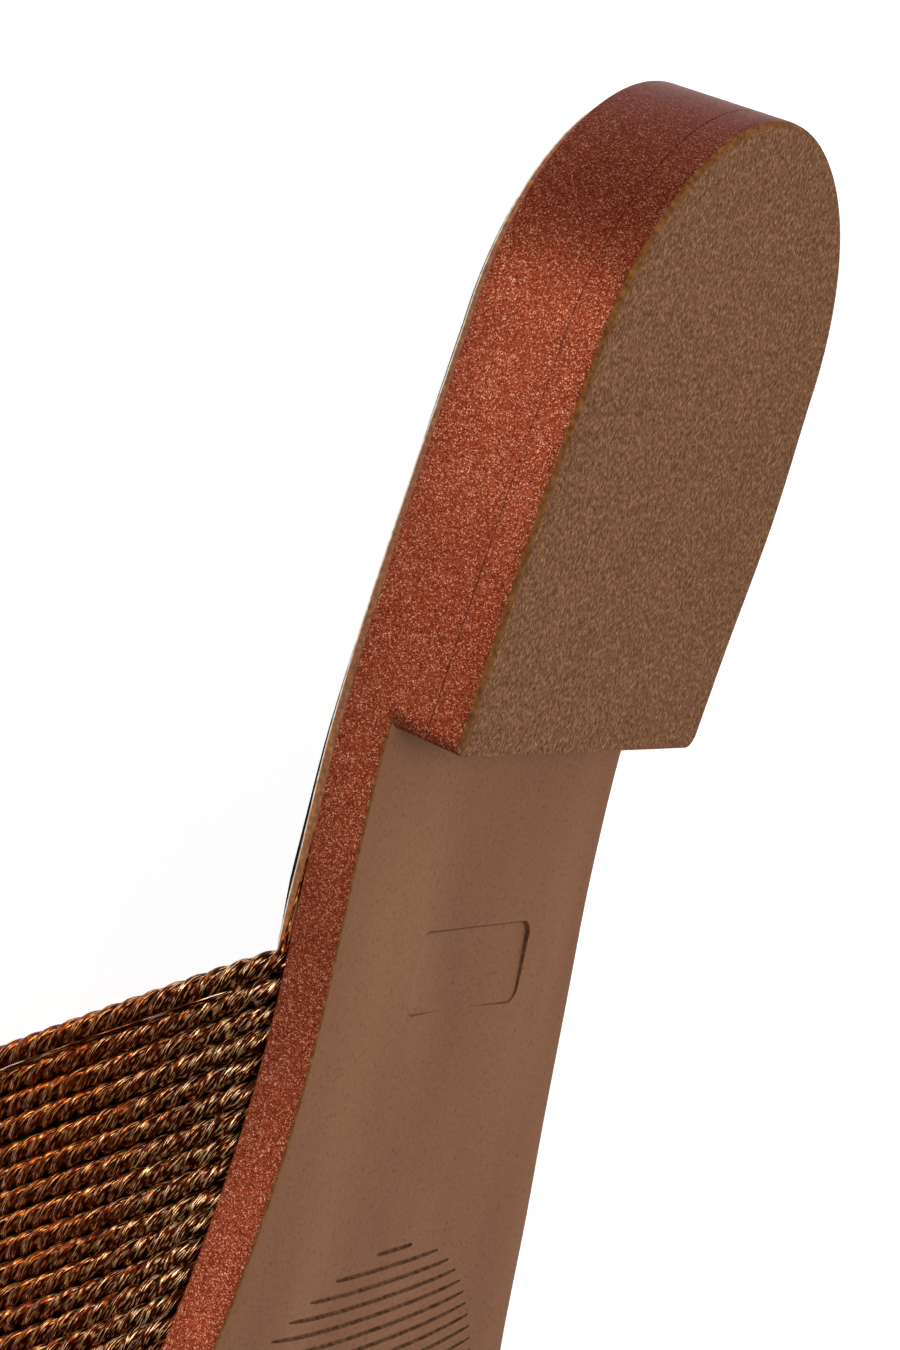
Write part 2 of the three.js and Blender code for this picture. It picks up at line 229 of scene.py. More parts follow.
def loft(name, rings, capped=False):
    """A mesh from a grid laid over closed rings of points, in millimetres on the standing slipper."""
    rings = np.asarray(rings, float)
    rings = np.concatenate([rings, rings[:, :1]], 1)
    along, around = rings.shape[:2]
    bpy.ops.object.select_all(action="DESELECT")
    bpy.ops.mesh.primitive_grid_add(x_subdivisions=around - 1, y_subdivisions=along - 1, size=2)
    piece = bpy.context.active_object
    piece.name = piece.data.name = name
    turn = np.array(standing)
    places = rings.reshape(-1, 3) * MM @ turn[:3, :3].T + turn[:3, 3]
    piece.data.vertices.foreach_set("co", places.astype(np.float32).ravel())
    bpy.ops.object.mode_set(mode="EDIT")
    bpy.ops.mesh.select_all(action="SELECT")
    bpy.ops.mesh.remove_doubles(threshold=SAME_POINT_M)
    if capped:
        bpy.ops.mesh.select_all(action="SELECT")
        bpy.ops.mesh.fill_holes(sides=0)
    bpy.ops.mesh.select_all(action="SELECT")
    bpy.ops.mesh.normals_make_consistent(inside=False)
    bpy.ops.object.mode_set(mode="OBJECT")
    return piece


def given(value, *where):
    """A level's inset or height: either a number or a function of the place."""
    return (value(*where) if callable(value) else value) + 0 * where[0]


def plate(name, start, end, levels, columns=14, relief=None, extra=()):
    """A sole piece between its levels, from the lowest up. Each says how far it stands in from the sole's
    outline and how high it is. Relief is added to the lowest face, and extra places get a section too."""
    places = np.union1d(stations(start, end), extra)
    sides = []
    for inset, height in levels:
        edges = outline(places, [given(inset, places, side) for side in (-1, 1)])
        sides.append([np.c_[edge, given(height, edge[:, 1])] for edge in edges])
    share = np.linspace(0, 1, columns)[1:-1, None, None]
    bottom = sides[0][0] + (sides[0][1] - sides[0][0]) * share
    top = sides[-1][1] + (sides[-1][0] - sides[-1][1]) * share
    bottom[:, :, 2] = given(levels[0][1], bottom[:, :, 1])
    top[:, :, 2] = given(levels[-1][1], top[:, :, 1])
    if relief:
        bottom[:, :, 2] += relief(share[:, :, 0], bottom[:, :, 1])
    rings = [*bottom, *[pair[1] for pair in sides], *top, *[pair[0] for pair in reversed(sides)]]
    capped = start > 0 or end < SOLE_LENGTH
    piece = loft(name, np.array(rings).transpose(1, 0, 2), capped=capped)
    bpy.ops.object.shade_smooth_by_angle(angle=SOLE_CREASE)
    return piece


def join(name, pieces):
    bpy.ops.object.select_all(action="DESELECT")
    for piece in pieces:
        piece.select_set(True)
    bpy.context.view_layer.objects.active = pieces[0]
    bpy.ops.object.join()
    pieces[0].name = pieces[0].data.name = name
    return pieces[0]


def colour(code):
    """A colour that is written as sRGB hex, as linear red, green, blue and alpha."""
    parts = [int(code[i:i + 2], 16) / 255 for i in (1, 3, 5)]
    return [c / 12.92 if c <= 0.04045 else ((c + 0.055) / 1.055) ** 2.4 for c in parts] + [1]


def connect(material, part, sockets):
    """Gives each named socket of a node its value, or a link where the value is another node's output."""
    for socket, value in sockets.items():
        if isinstance(value, bpy.types.NodeSocket):
            material.node_tree.links.new(value, part.inputs[socket])
        else:
            part.inputs[socket].default_value = value


def node(material, kind, sockets=None, stops=(), **settings):
    """Adds a node with its settings, and with a link or a value for each socket that is named. Stops are a
    colour ramp's, as place and sRGB hex."""
    added = material.node_tree.nodes.new(kind)
    for setting, value in settings.items():
        setattr(added, setting, value)
    connect(material, added, sockets or {})
    if stops:
        elements = added.color_ramp.elements
        while len(elements) < len(stops):
            elements.new(0.5)
        for element, (place, code) in zip(elements, stops):
            element.position = place
            element.color = colour(code)
    return added


def new_material(name):
    material = bpy.data.materials.new(name)
    material.use_nodes = True
    return material, material.node_tree.nodes["Principled BSDF"]


def finish_of(material, shader, **sockets):
    """Sets or links the shader's sockets; spaces in their names are written as underscores."""
    connect(material, shader, {socket.replace("_", " "): value for socket, value in sockets.items()})


def paint(piece, *coats):
    """Gives the piece its materials. Each coat after the first has a test of a face's middle and outward
    normal, both as on the standing slipper, in millimetres."""
    for material, _ in coats:
        piece.data.materials.append(material)
    back = standing.inverted()
    turn = back.to_3x3()
    for face in piece.data.polygons:
        middle = back @ face.center / MM
        normal = turn @ face.normal
        for index, (_, test) in enumerate(coats):
            if test and test(middle, normal):
                face.material_index = index


# Sprayed metallic coat: mid copper, satin, with flakes of about a ninth of a millimetre that glint one by
# one. Round the back of the heel its colour is darkened with painted shade. A colour mix has its share at
# socket 0 and its two colours at sockets 6 and 7, here and below.
FLAKE_MM = 0.115
CLOUD_MM = 9
FLAKE_SHARE = 0.65
HEEL_BACK_PAINTED_SHADE = 0.5
HEEL_BACK_PAINTED_SHADE_MM = 24
copper, shader = new_material("copper_metallic_coat")
place = node(copper, "ShaderNodeTexCoord").outputs["Object"]
flakes = node(copper, "ShaderNodeTexVoronoi", {"Vector": place, "Scale": 1 / (FLAKE_MM * MM)})
glint = node(copper, "ShaderNodeSeparateColor", {"Color": flakes.outputs["Color"]})
cloudy = node(copper, "ShaderNodeTexNoise", {"Vector": place, "Scale": 1 / (CLOUD_MM * MM), "Detail": 3.0})
body = node(copper, "ShaderNodeValToRGB", {"Fac": cloudy.outputs["Fac"]},
            stops=[(0.3, "#752B17"), (0.7, "#823720")])
specks = node(copper, "ShaderNodeValToRGB", {"Fac": glint.outputs["Red"]}, stops=[
    (0.0, "#210703"), (0.25, "#5A1E10"), (0.5, "#7B301C"),
    (0.75, "#98482C"), (0.9, "#B46E4E"), (1.0, "#E6B797"),
])
mixed = node(copper, "ShaderNodeMix", {0: FLAKE_SHARE, 6: body.outputs["Color"], 7: specks.outputs["Color"]},
             data_type="RGBA")
along = node(copper, "ShaderNodeSeparateXYZ", {"Vector": place})
# Painted shade: towards the back of the heel the coat's colour is mixed with a dark red-brown.
heel_back = -SOLE_LENGTH / 2 * MM
painted_shade_share = node(copper, "ShaderNodeMapRange", {
    "Value": along.outputs["Y"], "From Min": heel_back, "From Max": heel_back + HEEL_BACK_PAINTED_SHADE_MM * MM,
    "To Min": HEEL_BACK_PAINTED_SHADE, "To Max": 0.0,
})
copper_with_painted_shade = node(copper, "ShaderNodeMix", {0: painted_shade_share.outputs[0], 6: mixed.outputs[2], 7: colour("#2A0A04")},
                data_type="RGBA")
bump = node(copper, "ShaderNodeBump", {
    "Height": glint.outputs["Green"], "Strength": 0.3, "Distance": 0.05 * MM,
})
finish_of(copper, shader, Base_Color=copper_with_painted_shade.outputs[2], Metallic=0.35, Roughness=0.42,
          Specular_IOR_Level=0.2, IOR=1.3, Specular_Tint=colour("#C88A74"), Normal=bump.outputs["Normal"])


def rounding(radius, base, direction):
    """Levels of a rounded rim outward from the surface at base, which is the piece's lower one for direction
    1 and its upper one for -1."""
    for angle in np.linspace(0, math.pi / 2, RIM_LEVELS):
        rise = direction * radius * (1 - math.cos(angle))
        yield radius * (1 - math.sin(angle)), lambda y, rise=rise: base(y) + rise


def breast_corner(level, drawn_in=0):
    """How far the heel draws in at its two front corners, which are rounder towards the shank."""
    def inset(y, side):
        radius = BREAST_CORNER[side] + BREAST_CORNER_GROWTH * level / SHANK_HEIGHT
        into = np.clip(y - (HEEL_LENGTH - radius), 0, radius)
        return radius - np.sqrt(radius**2 - into**2) + drawn_in
    return inset


def over_outsole(y):
    return underside(y) + OUTSOLE_THICKNESS


block_top = SHANK_HEIGHT + BLOCK_RISE
block_levels = [(breast_corner(TOP_LIFT_THICKNESS, SEAM_DEPTH), TOP_LIFT_THICKNESS)]
for level in np.linspace(TOP_LIFT_THICKNESS + SEAM_DEPTH, block_top, BLOCK_LEVELS):
    block_levels.append((breast_corner(level), level))
heel_block = plate("heel_block", 0, HEEL_LENGTH, block_levels)

midsole = plate("midsole", 0, SOLE_LENGTH, [
    (0, lambda y: np.where(y < HEEL_LENGTH, block_top - BLOCK_OVERLAP, over_outsole(y))),
    *reversed(list(rounding(FOOTBED_ROUNDING, footbed, -1))),
])
heel_and_midsole = join("copper_heel_and_midsole", [midsole, heel_block])
paint(heel_and_midsole, (copper, None))
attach(heel_and_midsole, "root")
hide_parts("heel_and_midsole")

# The top lift is the wearing piece under the heel, cut from brown split leather with a short nap brushed
# lengthwise. Its edge is sprayed with the heel, up to a fine seam, and its cut rim is an uneven ochre line.
LIFT_JOINT = 0.02
RIM_START = 0.001
COAT_START = 0.35
BARE_BREAST = 0.8
# height above the ground, and how far the edge is worn in there
LIFT_LEVELS = [
    (0, 0.75), (0.16, 0.34), (0.42, 0.08), (0.8, 0), (2.2, 0),
    (TOP_LIFT_THICKNESS - SEAM_DEPTH, 0), (TOP_LIFT_THICKNESS - LIFT_JOINT, SEAM_DEPTH),
]
lift_levels = [(breast_corner(level, drawn_in), level) for level, drawn_in in LIFT_LEVELS]
top_lift = plate("brown_top_lift", 0, HEEL_LENGTH, lift_levels, columns=20)

# Split leather: matt, mottled, with a nap of short light and dark strokes about 0.3 mm wide and 0.5 mm long
NAP_MM = 0.33
BLOTCH_MM = 11
split_leather, shader = new_material("brown_split_leather")
place = node(split_leather, "ShaderNodeTexCoord").outputs["Object"]
strokes = node(split_leather, "ShaderNodeMapping", {"Vector": place, "Scale": (1, 0.6, 1)})
nap = node(split_leather, "ShaderNodeTexNoise", {
    "Vector": strokes.outputs["Vector"], "Scale": 1 / (NAP_MM * MM), "Detail": 4.0, "Roughness": 0.75,
})
blotches = node(split_leather, "ShaderNodeTexNoise", {
    "Vector": strokes.outputs["Vector"], "Scale": 1 / (BLOTCH_MM * MM), "Detail": 2.0,
})
tone = node(split_leather, "ShaderNodeValToRGB", {"Fac": blotches.outputs["Fac"]},
            stops=[(0.3, "#704931"), (0.7, "#80573B")])
grain = node(split_leather, "ShaderNodeValToRGB", {"Fac": nap.outputs["Fac"]},
             stops=[(0.34, "#3A2114"), (0.5, "#754C32"), (0.68, "#B4875F")])
mixed = node(split_leather, "ShaderNodeMix", {0: 0.85, 6: tone.outputs["Color"], 7: grain.outputs["Color"]},
             data_type="RGBA")
bump = node(split_leather, "ShaderNodeBump", {
    "Height": nap.outputs["Fac"], "Strength": 1.0, "Distance": 0.3 * MM,
})
finish_of(split_leather, shader, Base_Color=mixed.outputs[2], Roughness=0.95, Specular_IOR_Level=0.15,
          Normal=bump.outputs["Normal"])

# Cut rim of the leather: ochre, rough, with crumbs under a millimetre
RIM_CRUMB_MM = 0.7
cut_rim, shader = new_material("ochre_cut_rim")
place = node(cut_rim, "ShaderNodeTexCoord").outputs["Object"]
crumbs = node(cut_rim, "ShaderNodeTexNoise", {
    "Vector": place, "Scale": 1 / (RIM_CRUMB_MM * MM), "Detail": 3.0,
})
ochre = node(cut_rim, "ShaderNodeValToRGB", {"Fac": crumbs.outputs["Fac"]},
             stops=[(0.3, "#54300F"), (0.55, "#74461A"), (0.75, "#8E5A2A")])
bump = node(cut_rim, "ShaderNodeBump", {
    "Height": crumbs.outputs["Fac"], "Strength": 0.4, "Distance": 0.2 * MM,
})
finish_of(cut_rim, shader, Base_Color=ochre.outputs["Color"], Roughness=0.85, Specular_IOR_Level=0.2,
          Normal=bump.outputs["Normal"])


def on_lift_rim(middle, normal):
    return RIM_START < middle.z <= COAT_START and middle.y < HEEL_LENGTH - BARE_BREAST


paint(
    top_lift,
    (split_leather, None),
    (copper, lambda middle, normal: middle.z > COAT_START),
    (cut_rim, on_lift_rim),
)
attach(top_lift, "root")
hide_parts("heel_top_lift")

# The outsole is a thin sheet of smooth brown leatherboard from the breast to the toe, its edge sprayed with
# the midsole's. A shallow rounded recess in the shank is left bare. Fine lines are pressed in under the ball.
OUTSOLE_RIM = 0.3
OUTSOLE_TONGUE = 2.2
OUTSOLE_RELIEF = 0.22
RELIEF_FADE = 25
RELIEF_WAVES = 2.6
RELIEF_SHIFT = 0.12
RECESS_CENTRE = (0.4, 100.7)
RECESS_SIZE = (25.8, 9.9)
RECESS_CORNER = 2.0
RECESS_DEEPEST = 0.6
RECESS_SHALLOWEST = 0.2
RECESS_SLOPE = 0.42
TREAD_CENTRE = (-5, 166.8)
TREAD_HALF = (34, 33)
TREAD_START_SHIFT = 4.2
TREAD_FIRST = 0.22
TREAD_PITCH = 1.7
TREAD_ARC = 188
TREAD_SLANT = 0.03
TREAD_LINE_WIDTH = 0.76
TREAD_LINE_DEPTH = 0.3
TREAD_TAPER = 0.75
# a pressed line's section: shares of its half width at mouth and floor, and how far the cut starts outside
LINE_MOUTH = 1.3
LINE_FLOOR = 0.4
LINE_OUTSIDE = 0.4
# share of the recess's size, of its slope and of its depth, the last in millimetres outside it if negative
RECESS_RINGS = [
    (1, 0, -2), (1, 0, -0.02), (1, 1, 1), (0.75, 1, 1), (0.5, 1, 1), (0.25, 1, 1), (0.02, 1, 1),
]


def outsole_relief(share, y):
    """The pressed sheet isn't quite level: a soft ridge runs inside each long edge, with a hollow between.
    Share goes across the sole from its left edge to its right one."""
    fade = np.clip((y - HEEL_LENGTH) / RELIEF_FADE, 0, 1)
    waves = np.cos(RELIEF_WAVES * math.pi * (share - RELIEF_SHIFT))
    return -OUTSOLE_RELIEF * fade * np.sin(math.pi * share) * waves


def sheet_surface(x, y):
    share = np.clip((x - sole_centre(y)) / (2 * sole_half(y)) + 0.5, 0, 1)
    return underside(y) + outsole_relief(share, y)


outsole = plate("brown_outsole", HEEL_LENGTH - OUTSOLE_TONGUE, SOLE_LENGTH, [
    *rounding(OUTSOLE_RIM, underside, 1),
    (0, over_outsole),
], columns=40, relief=outsole_relief)


def lines_of_tread():
    """The pressed lines from the shank's side to the toe's, each as its middle points and half widths."""
    for offset in np.arange(TREAD_FIRST - TREAD_HALF[1], TREAD_HALF[1], TREAD_PITCH):
        share = np.linspace(-1, 1, 25)
        reach = TREAD_HALF[0] * math.sqrt(1 - (offset / TREAD_HALF[1]) ** 2)
        start_shift = TREAD_START_SHIFT * max(0, -offset / TREAD_HALF[1]) ** 5
        x = TREAD_CENTRE[0] + start_shift + reach * share
        bow = reach**2 / (2 * TREAD_ARC) * (1 - share**2)
        y = TREAD_CENTRE[1] + offset + bow - TREAD_SLANT * reach * share
        yield np.stack([x, y], 1), TREAD_LINE_WIDTH / 2 * np.sqrt(1 - TREAD_TAPER * share**8)


line_section = [
    (-LINE_MOUTH, -LINE_OUTSIDE), (LINE_MOUTH, -LINE_OUTSIDE),
    (LINE_FLOOR, TREAD_LINE_DEPTH), (-LINE_FLOOR, TREAD_LINE_DEPTH),
]
cutters = []
for middles, width in lines_of_tread():
    x, y = middles.T
    floor_z = sheet_surface(x, y)
    rings = np.stack([np.stack([x, y + width * reach, floor_z + rise], 1) for reach, rise in line_section], 1)
    cutters.append(loft("tread_cutter", rings, capped=True))
half_x, half_y = (size / 2 - RECESS_CORNER for size in RECESS_SIZE)
turns = np.linspace(0, 2 * math.pi, 33)[:-1]
recess_x = np.sign(np.cos(turns)) * half_x + RECESS_CORNER * np.cos(turns) + RECESS_CENTRE[0]
recess_y = np.sign(np.sin(turns)) * half_y + RECESS_CORNER * np.sin(turns) + RECESS_CENTRE[1]
# the wall is steep on the right and towards the toe, and slopes most on the left and towards the heel
wall_slope = RECESS_SLOPE * (0.75 - 0.55 * np.cos(turns) - 0.3 * np.sin(turns))
rings = []
for shrunk, sloped, sunk in RECESS_RINGS:
    to_right = (recess_x - RECESS_CENTRE[0]) / RECESS_SIZE[0] * shrunk + 0.5
    to_heel = 0.5 - (recess_y - RECESS_CENTRE[1]) / RECESS_SIZE[1] * shrunk
    slope = wall_slope * sloped
    x = RECESS_CENTRE[0] + (recess_x - RECESS_CENTRE[0]) * shrunk - slope * np.cos(turns)
    y = RECESS_CENTRE[1] + (recess_y - RECESS_CENTRE[1]) * shrunk - slope * np.sin(turns)
    depth = RECESS_SHALLOWEST + (RECESS_DEEPEST - RECESS_SHALLOWEST) * to_right**2 * to_heel
    rings.append(np.stack([x, y, sheet_surface(x, y) + (depth * sunk if sunk > 0 else sunk)], 1))
cutters.append(loft("recess_cutter", rings, capped=True))
cutter = join("outsole_cutter", cutters)
bpy.ops.object.select_all(action="DESELECT")
bpy.context.view_layer.objects.active = outsole
cut = outsole.modifiers.new("pressed_lines", "BOOLEAN")
cut.operation = "DIFFERENCE"
cut.solver = "EXACT"
cut.object = cutter
bpy.ops.object.modifier_apply(modifier=cut.name)
bpy.data.objects.remove(cutter)
outsole.select_set(True)
bpy.ops.object.shade_smooth_by_angle(angle=SOLE_CREASE)

# Leatherboard: smooth and matt, in faint clouds that run lengthwise, with scattered pores of about half a
# millimetre
BOARD_CLOUD_MM = 17
PORE_MM = 0.45
board, shader = new_material("brown_smooth_leatherboard")
place = node(board, "ShaderNodeTexCoord").outputs["Object"]
stretched = node(board, "ShaderNodeMapping", {"Vector": place, "Scale": (1, 0.2, 1)})
clouds = node(board, "ShaderNodeTexNoise", {
    "Vector": stretched.outputs["Vector"], "Scale": 1 / (BOARD_CLOUD_MM * MM), "Detail": 2.0,
})
pores = node(board, "ShaderNodeTexNoise", {"Vector": place, "Scale": 1 / (PORE_MM * MM), "Detail": 3.0})
tone = node(board, "ShaderNodeValToRGB", {"Fac": clouds.outputs["Fac"]},
            stops=[(0.32, "#6B422A"), (0.68, "#875D3E")])
dots = node(board, "ShaderNodeValToRGB", {"Fac": pores.outputs["Fac"]},
            stops=[(0.3, "#472B1B"), (0.4, "#764C32"), (0.7, "#83593B")])
mixed = node(board, "ShaderNodeMix", {0: 0.5, 6: tone.outputs["Color"], 7: dots.outputs["Color"]},
             data_type="RGBA")
bump = node(board, "ShaderNodeBump", {"Height": pores.outputs["Fac"], "Strength": 0.15, "Distance": 0.2 * MM})
finish_of(board, shader, Base_Color=mixed.outputs[2], Roughness=0.8, Specular_IOR_Level=0.25,
          Normal=bump.outputs["Normal"])

# Very dark brown of the pressed lines, with crumbs under a millimetre. On the recess's deepest wall the same
# colour is painted shade.
LINE_CRUMB_MM = 0.8
line_colour_and_wall_shade, shader = new_material("dark_pressed_line_and_painted_wall_shade")
place = node(line_colour_and_wall_shade, "ShaderNodeTexCoord").outputs["Object"]
crumbs = node(line_colour_and_wall_shade, "ShaderNodeTexNoise", {
    "Vector": place, "Scale": 1 / (LINE_CRUMB_MM * MM), "Detail": 2.0,
})
shade = node(line_colour_and_wall_shade, "ShaderNodeValToRGB", {"Fac": crumbs.outputs["Fac"]},
             stops=[(0.35, "#482D1C"), (0.65, "#6E4E38")])
finish_of(line_colour_and_wall_shade, shader, Base_Color=shade.outputs["Color"], Roughness=0.9, Specular_IOR_Level=0.1)

# Painted shade on the walls round the recess: a brown a little darker than the sheet
RECESS_SHADE_CRUMB_MM = 0.5
painted_recess_shade, shader = new_material("brown_painted_recess_shade")
place = node(painted_recess_shade, "ShaderNodeTexCoord").outputs["Object"]
crumbs = node(painted_recess_shade, "ShaderNodeTexNoise", {
    "Vector": place, "Scale": 1 / (RECESS_SHADE_CRUMB_MM * MM), "Detail": 2.0,
})
shade = node(painted_recess_shade, "ShaderNodeValToRGB", {"Fac": crumbs.outputs["Fac"]},
             stops=[(0.35, "#5A3922"), (0.65, "#694631")])
finish_of(painted_recess_shade, shader, Base_Color=shade.outputs["Color"], Roughness=0.85, Specular_IOR_Level=0.15)

# how deep a face lies that is painted as a pressed line, and how far from the recess's middle and the edge
LINE_SUNK_LEAST = 0.04
LINE_SUNK_MOST = 0.6
LINE_FROM_RECESS = (RECESS_SIZE[0] / 2 + 1, 6)
LINE_FROM_EDGE = 3
# the recess's wall: its reach outside and inside the stamped edge, and how much its faces lean at least
WALL_OUTSIDE = 0.05
WALL_INSIDE = (0.75, 0.5)
WALL_LEAN = 0.985
DEEP_WALL = 1
# the outsole's edge: how far in its coat reaches, and where the bare cut rim ends below it
EDGE_COAT = 0.8
TOE_COAT = 1
BARE_RIM_HEIGHT = 0.17
RIM_LEAN = 0.97


def in_pressed_line(middle, normal):
    off_x = abs(middle.x - RECESS_CENTRE[0]) > LINE_FROM_RECESS[0]
    off_y = abs(middle.y - RECESS_CENTRE[1]) > LINE_FROM_RECESS[1]
    inside_edge = abs(middle.x - sole_centre(middle.y)) < sole_half(middle.y) - LINE_FROM_EDGE
    sunk = LINE_SUNK_LEAST < middle.z - sheet_surface(middle.x, middle.y) < LINE_SUNK_MOST
    return inside_edge and (off_x or off_y) and sunk and middle.y > HEEL_LENGTH + 1


def on_recess_wall(middle, normal):
    in_x = abs(middle.x - RECESS_CENTRE[0])
    in_y = abs(RECESS_CENTRE[1] - middle.y)
    inside = in_x < RECESS_SIZE[0] / 2 + WALL_OUTSIDE and in_y < RECESS_SIZE[1] / 2 + WALL_OUTSIDE
    near_edge = in_x > RECESS_SIZE[0] / 2 - WALL_INSIDE[0] or in_y > RECESS_SIZE[1] / 2 - WALL_INSIDE[1]
    return inside and near_edge and abs(normal.z) < WALL_LEAN


# Painted shade: the recess's deepest wall, on the right, gets the pressed lines' dark colour.
def in_dark_line_or_shaded_wall(middle, normal):
    deep_wall = middle.x > RECESS_CENTRE[0] + RECESS_SIZE[0] / 2 - DEEP_WALL
    return in_pressed_line(middle, normal) or on_recess_wall(middle, normal) and deep_wall


def on_outsole_side(middle, normal):
    near_edge = abs(middle.x - sole_centre(middle.y)) > sole_half(middle.y) - EDGE_COAT
    near_toe = middle.y > SOLE_LENGTH - TOE_COAT
    return (near_edge or near_toe) and middle.z > underside(middle.y) + BARE_RIM_HEIGHT


def on_outsole_rim(middle, normal):
    return abs(normal.z) < RIM_LEAN and middle.z < underside(middle.y) + BARE_RIM_HEIGHT


# The recess's walls are painted with shade, its deepest wall with the pressed lines' dark colour.
paint(
    outsole,
    (board, None),
    (cut_rim, on_outsole_rim),
    (copper, on_outsole_side),
    (painted_recess_shade, on_recess_wall),
    (line_colour_and_wall_shade, in_dark_line_or_shaded_wall),
)
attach(outsole, "root")
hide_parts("outsole")

# The insole is tan leather with a dark, thinly padded cover on top. Its cut edge shows as a tan line over the
# copper, and it draws in between the feet of the band.
INSOLE_THICKNESS = 1.9
TAN_THICKNESS = 1.5
RIM_HEIGHT = 0.22
GLUE_LINE = 0.13
BAND_REAR_FOOT = 98.5
BAND_FOOT_LENGTH = 80
BAND_INSET = 0.35
BACKING_THICKNESS = 1.2
CORD_RISE = 1.0
# between the band's feet: the gap to the cords, how far in front of the band's rear edge the insole is fully
# drawn in, how far past its front edge it stays so, and over what length it comes out
INSOLE_CORD_GAP = 0.3
INSOLE_IN_FROM = 2.3
INSOLE_IN_PAST = 0.1
INSOLE_BLEND = 1.8
# place along the foot, inset of the tan leather from the sole's edge, and of the cover from the tan leather's
INSOLE_INSETS = [
    (0, 1.6, 0.8), (16, 1.55, 0.5), (30, 1.5, 0.38), (41, 1.46, 0.5), (50, 1.35, 0.8), (60, 1.15, 0.72),
    (71, 0.93, 0.4), (84, 0.7, 0.08), (92, 0.4, 0), (97, 0.18, 0.5), (190, 0.9, 0.5),
]
# how far the edge is drawn in, share of the cover's inset, and height above the footbed
INSOLE_LEVELS = [
    (0.2, 0, 0.02), (0.1, 0, GLUE_LINE), (0, 0, GLUE_LINE + 0.1), (0, 0, 0.8),
    (0, 0, TAN_THICKNESS - RIM_HEIGHT), (0.1, 0, TAN_THICKNESS),
    (0.02, 1, TAN_THICKNESS + 0.02), (0.02, 1, INSOLE_THICKNESS - 0.2),
    (0.1, 1, INSOLE_THICKNESS - 0.08), (0.4, 1, INSOLE_THICKNESS),
]
# extra sections this far from each end of the band's feet
FOOT_END_STEPS = (-0.6, -0.2, 0.2, 0.5, 0.8, 1.1, 1.4, 1.7, 2, 2.4)


def insole_edge(drawn_in, cover_share):
    def inset(y, side):
        beside_band = BAND_INSET + BACKING_THICKNESS + CORD_RISE + INSOLE_CORD_GAP
        before_band = BAND_REAR_FOOT + INSOLE_IN_FROM - y
        past_band = y - BAND_REAR_FOOT - BAND_FOOT_LENGTH - INSOLE_IN_PAST
        share = np.clip(np.maximum(before_band, past_band) / INSOLE_BLEND, 0, 1)
        places, tan_insets, cover_insets = zip(*INSOLE_INSETS)
        free = through(places, tan_insets, y)
        edge = beside_band + (free - beside_band) * share * share * (3 - 2 * share)
        return edge + cover_share * through(places, cover_insets, y) + drawn_in
    return inset


insole_levels = []
for drawn_in, cover_share, rise in INSOLE_LEVELS:
    insole_levels.append((insole_edge(drawn_in, cover_share), lambda y, rise=rise: footbed(y) + rise))
band_ends = [BAND_REAR_FOOT, BAND_REAR_FOOT + BAND_FOOT_LENGTH]
beside_ends = [end + step for end in band_ends for step in FOOT_END_STEPS]
insole = plate("leather_insole", 0, SOLE_LENGTH, insole_levels, columns=16, extra=beside_ends)

# Cut leather edge: tan, with fibres a little over half a millimetre apart
TAN_FIBRE_MM = 0.6
tan_edge, shader = new_material("tan_leather_edge")
place = node(tan_edge, "ShaderNodeTexCoord").outputs["Object"]
fibres = node(tan_edge, "ShaderNodeTexNoise", {
    "Vector": place, "Scale": 1 / (TAN_FIBRE_MM * MM), "Detail": 3.0,
})
tan = node(tan_edge, "ShaderNodeValToRGB", {"Fac": fibres.outputs["Fac"]},
           stops=[(0.3, "#78401A"), (0.55, "#9E5E2A"), (0.75, "#BA7E42")])
bump = node(tan_edge, "ShaderNodeBump", {
    "Height": fibres.outputs["Fac"], "Strength": 0.3, "Distance": 0.1 * MM,
})
finish_of(tan_edge, shader, Base_Color=tan.outputs["Color"], Roughness=0.65, Normal=bump.outputs["Normal"])

# Painted highlight along the upper rim of the tan leather
RIM_FIBRE_MM = 0.8
painted_rim_highlight, shader = new_material("pale_painted_rim_highlight")
place = node(painted_rim_highlight, "ShaderNodeTexCoord").outputs["Object"]
fibres = node(painted_rim_highlight, "ShaderNodeTexNoise", {
    "Vector": place, "Scale": 1 / (RIM_FIBRE_MM * MM), "Detail": 2.0,
})
pale = node(painted_rim_highlight, "ShaderNodeValToRGB", {"Fac": fibres.outputs["Fac"]},
            stops=[(0.35, "#C4AC92"), (0.65, "#F2E8DC")])
finish_of(painted_rim_highlight, shader, Base_Color=pale.outputs["Color"], Roughness=0.6)

# Dark smooth lining leather with a fine pebble
PEBBLE_MM = 1.3
LINING_CLOUD_MM = 12
lining, shader = new_material("dark_lining_leather")
place = node(lining, "ShaderNodeTexCoord").outputs["Object"]
pebble = node(lining, "ShaderNodeTexVoronoi", {"Vector": place, "Scale": 1 / (PEBBLE_MM * MM)})
clouds = node(lining, "ShaderNodeTexNoise", {
    "Vector": place, "Scale": 1 / (LINING_CLOUD_MM * MM), "Detail": 3.0,
})
dark = node(lining, "ShaderNodeValToRGB", {"Fac": clouds.outputs["Fac"]},
            stops=[(0.3, "#1E1612"), (0.7, "#2A1F19")])
bump = node(lining, "ShaderNodeBump", {
    "Height": pebble.outputs["Distance"], "Strength": 0.45, "Distance": 0.3 * MM,
})
finish_of(lining, shader, Base_Color=dark.outputs["Color"], Roughness=0.55, Specular_IOR_Level=0.25,
          Normal=bump.outputs["Normal"])

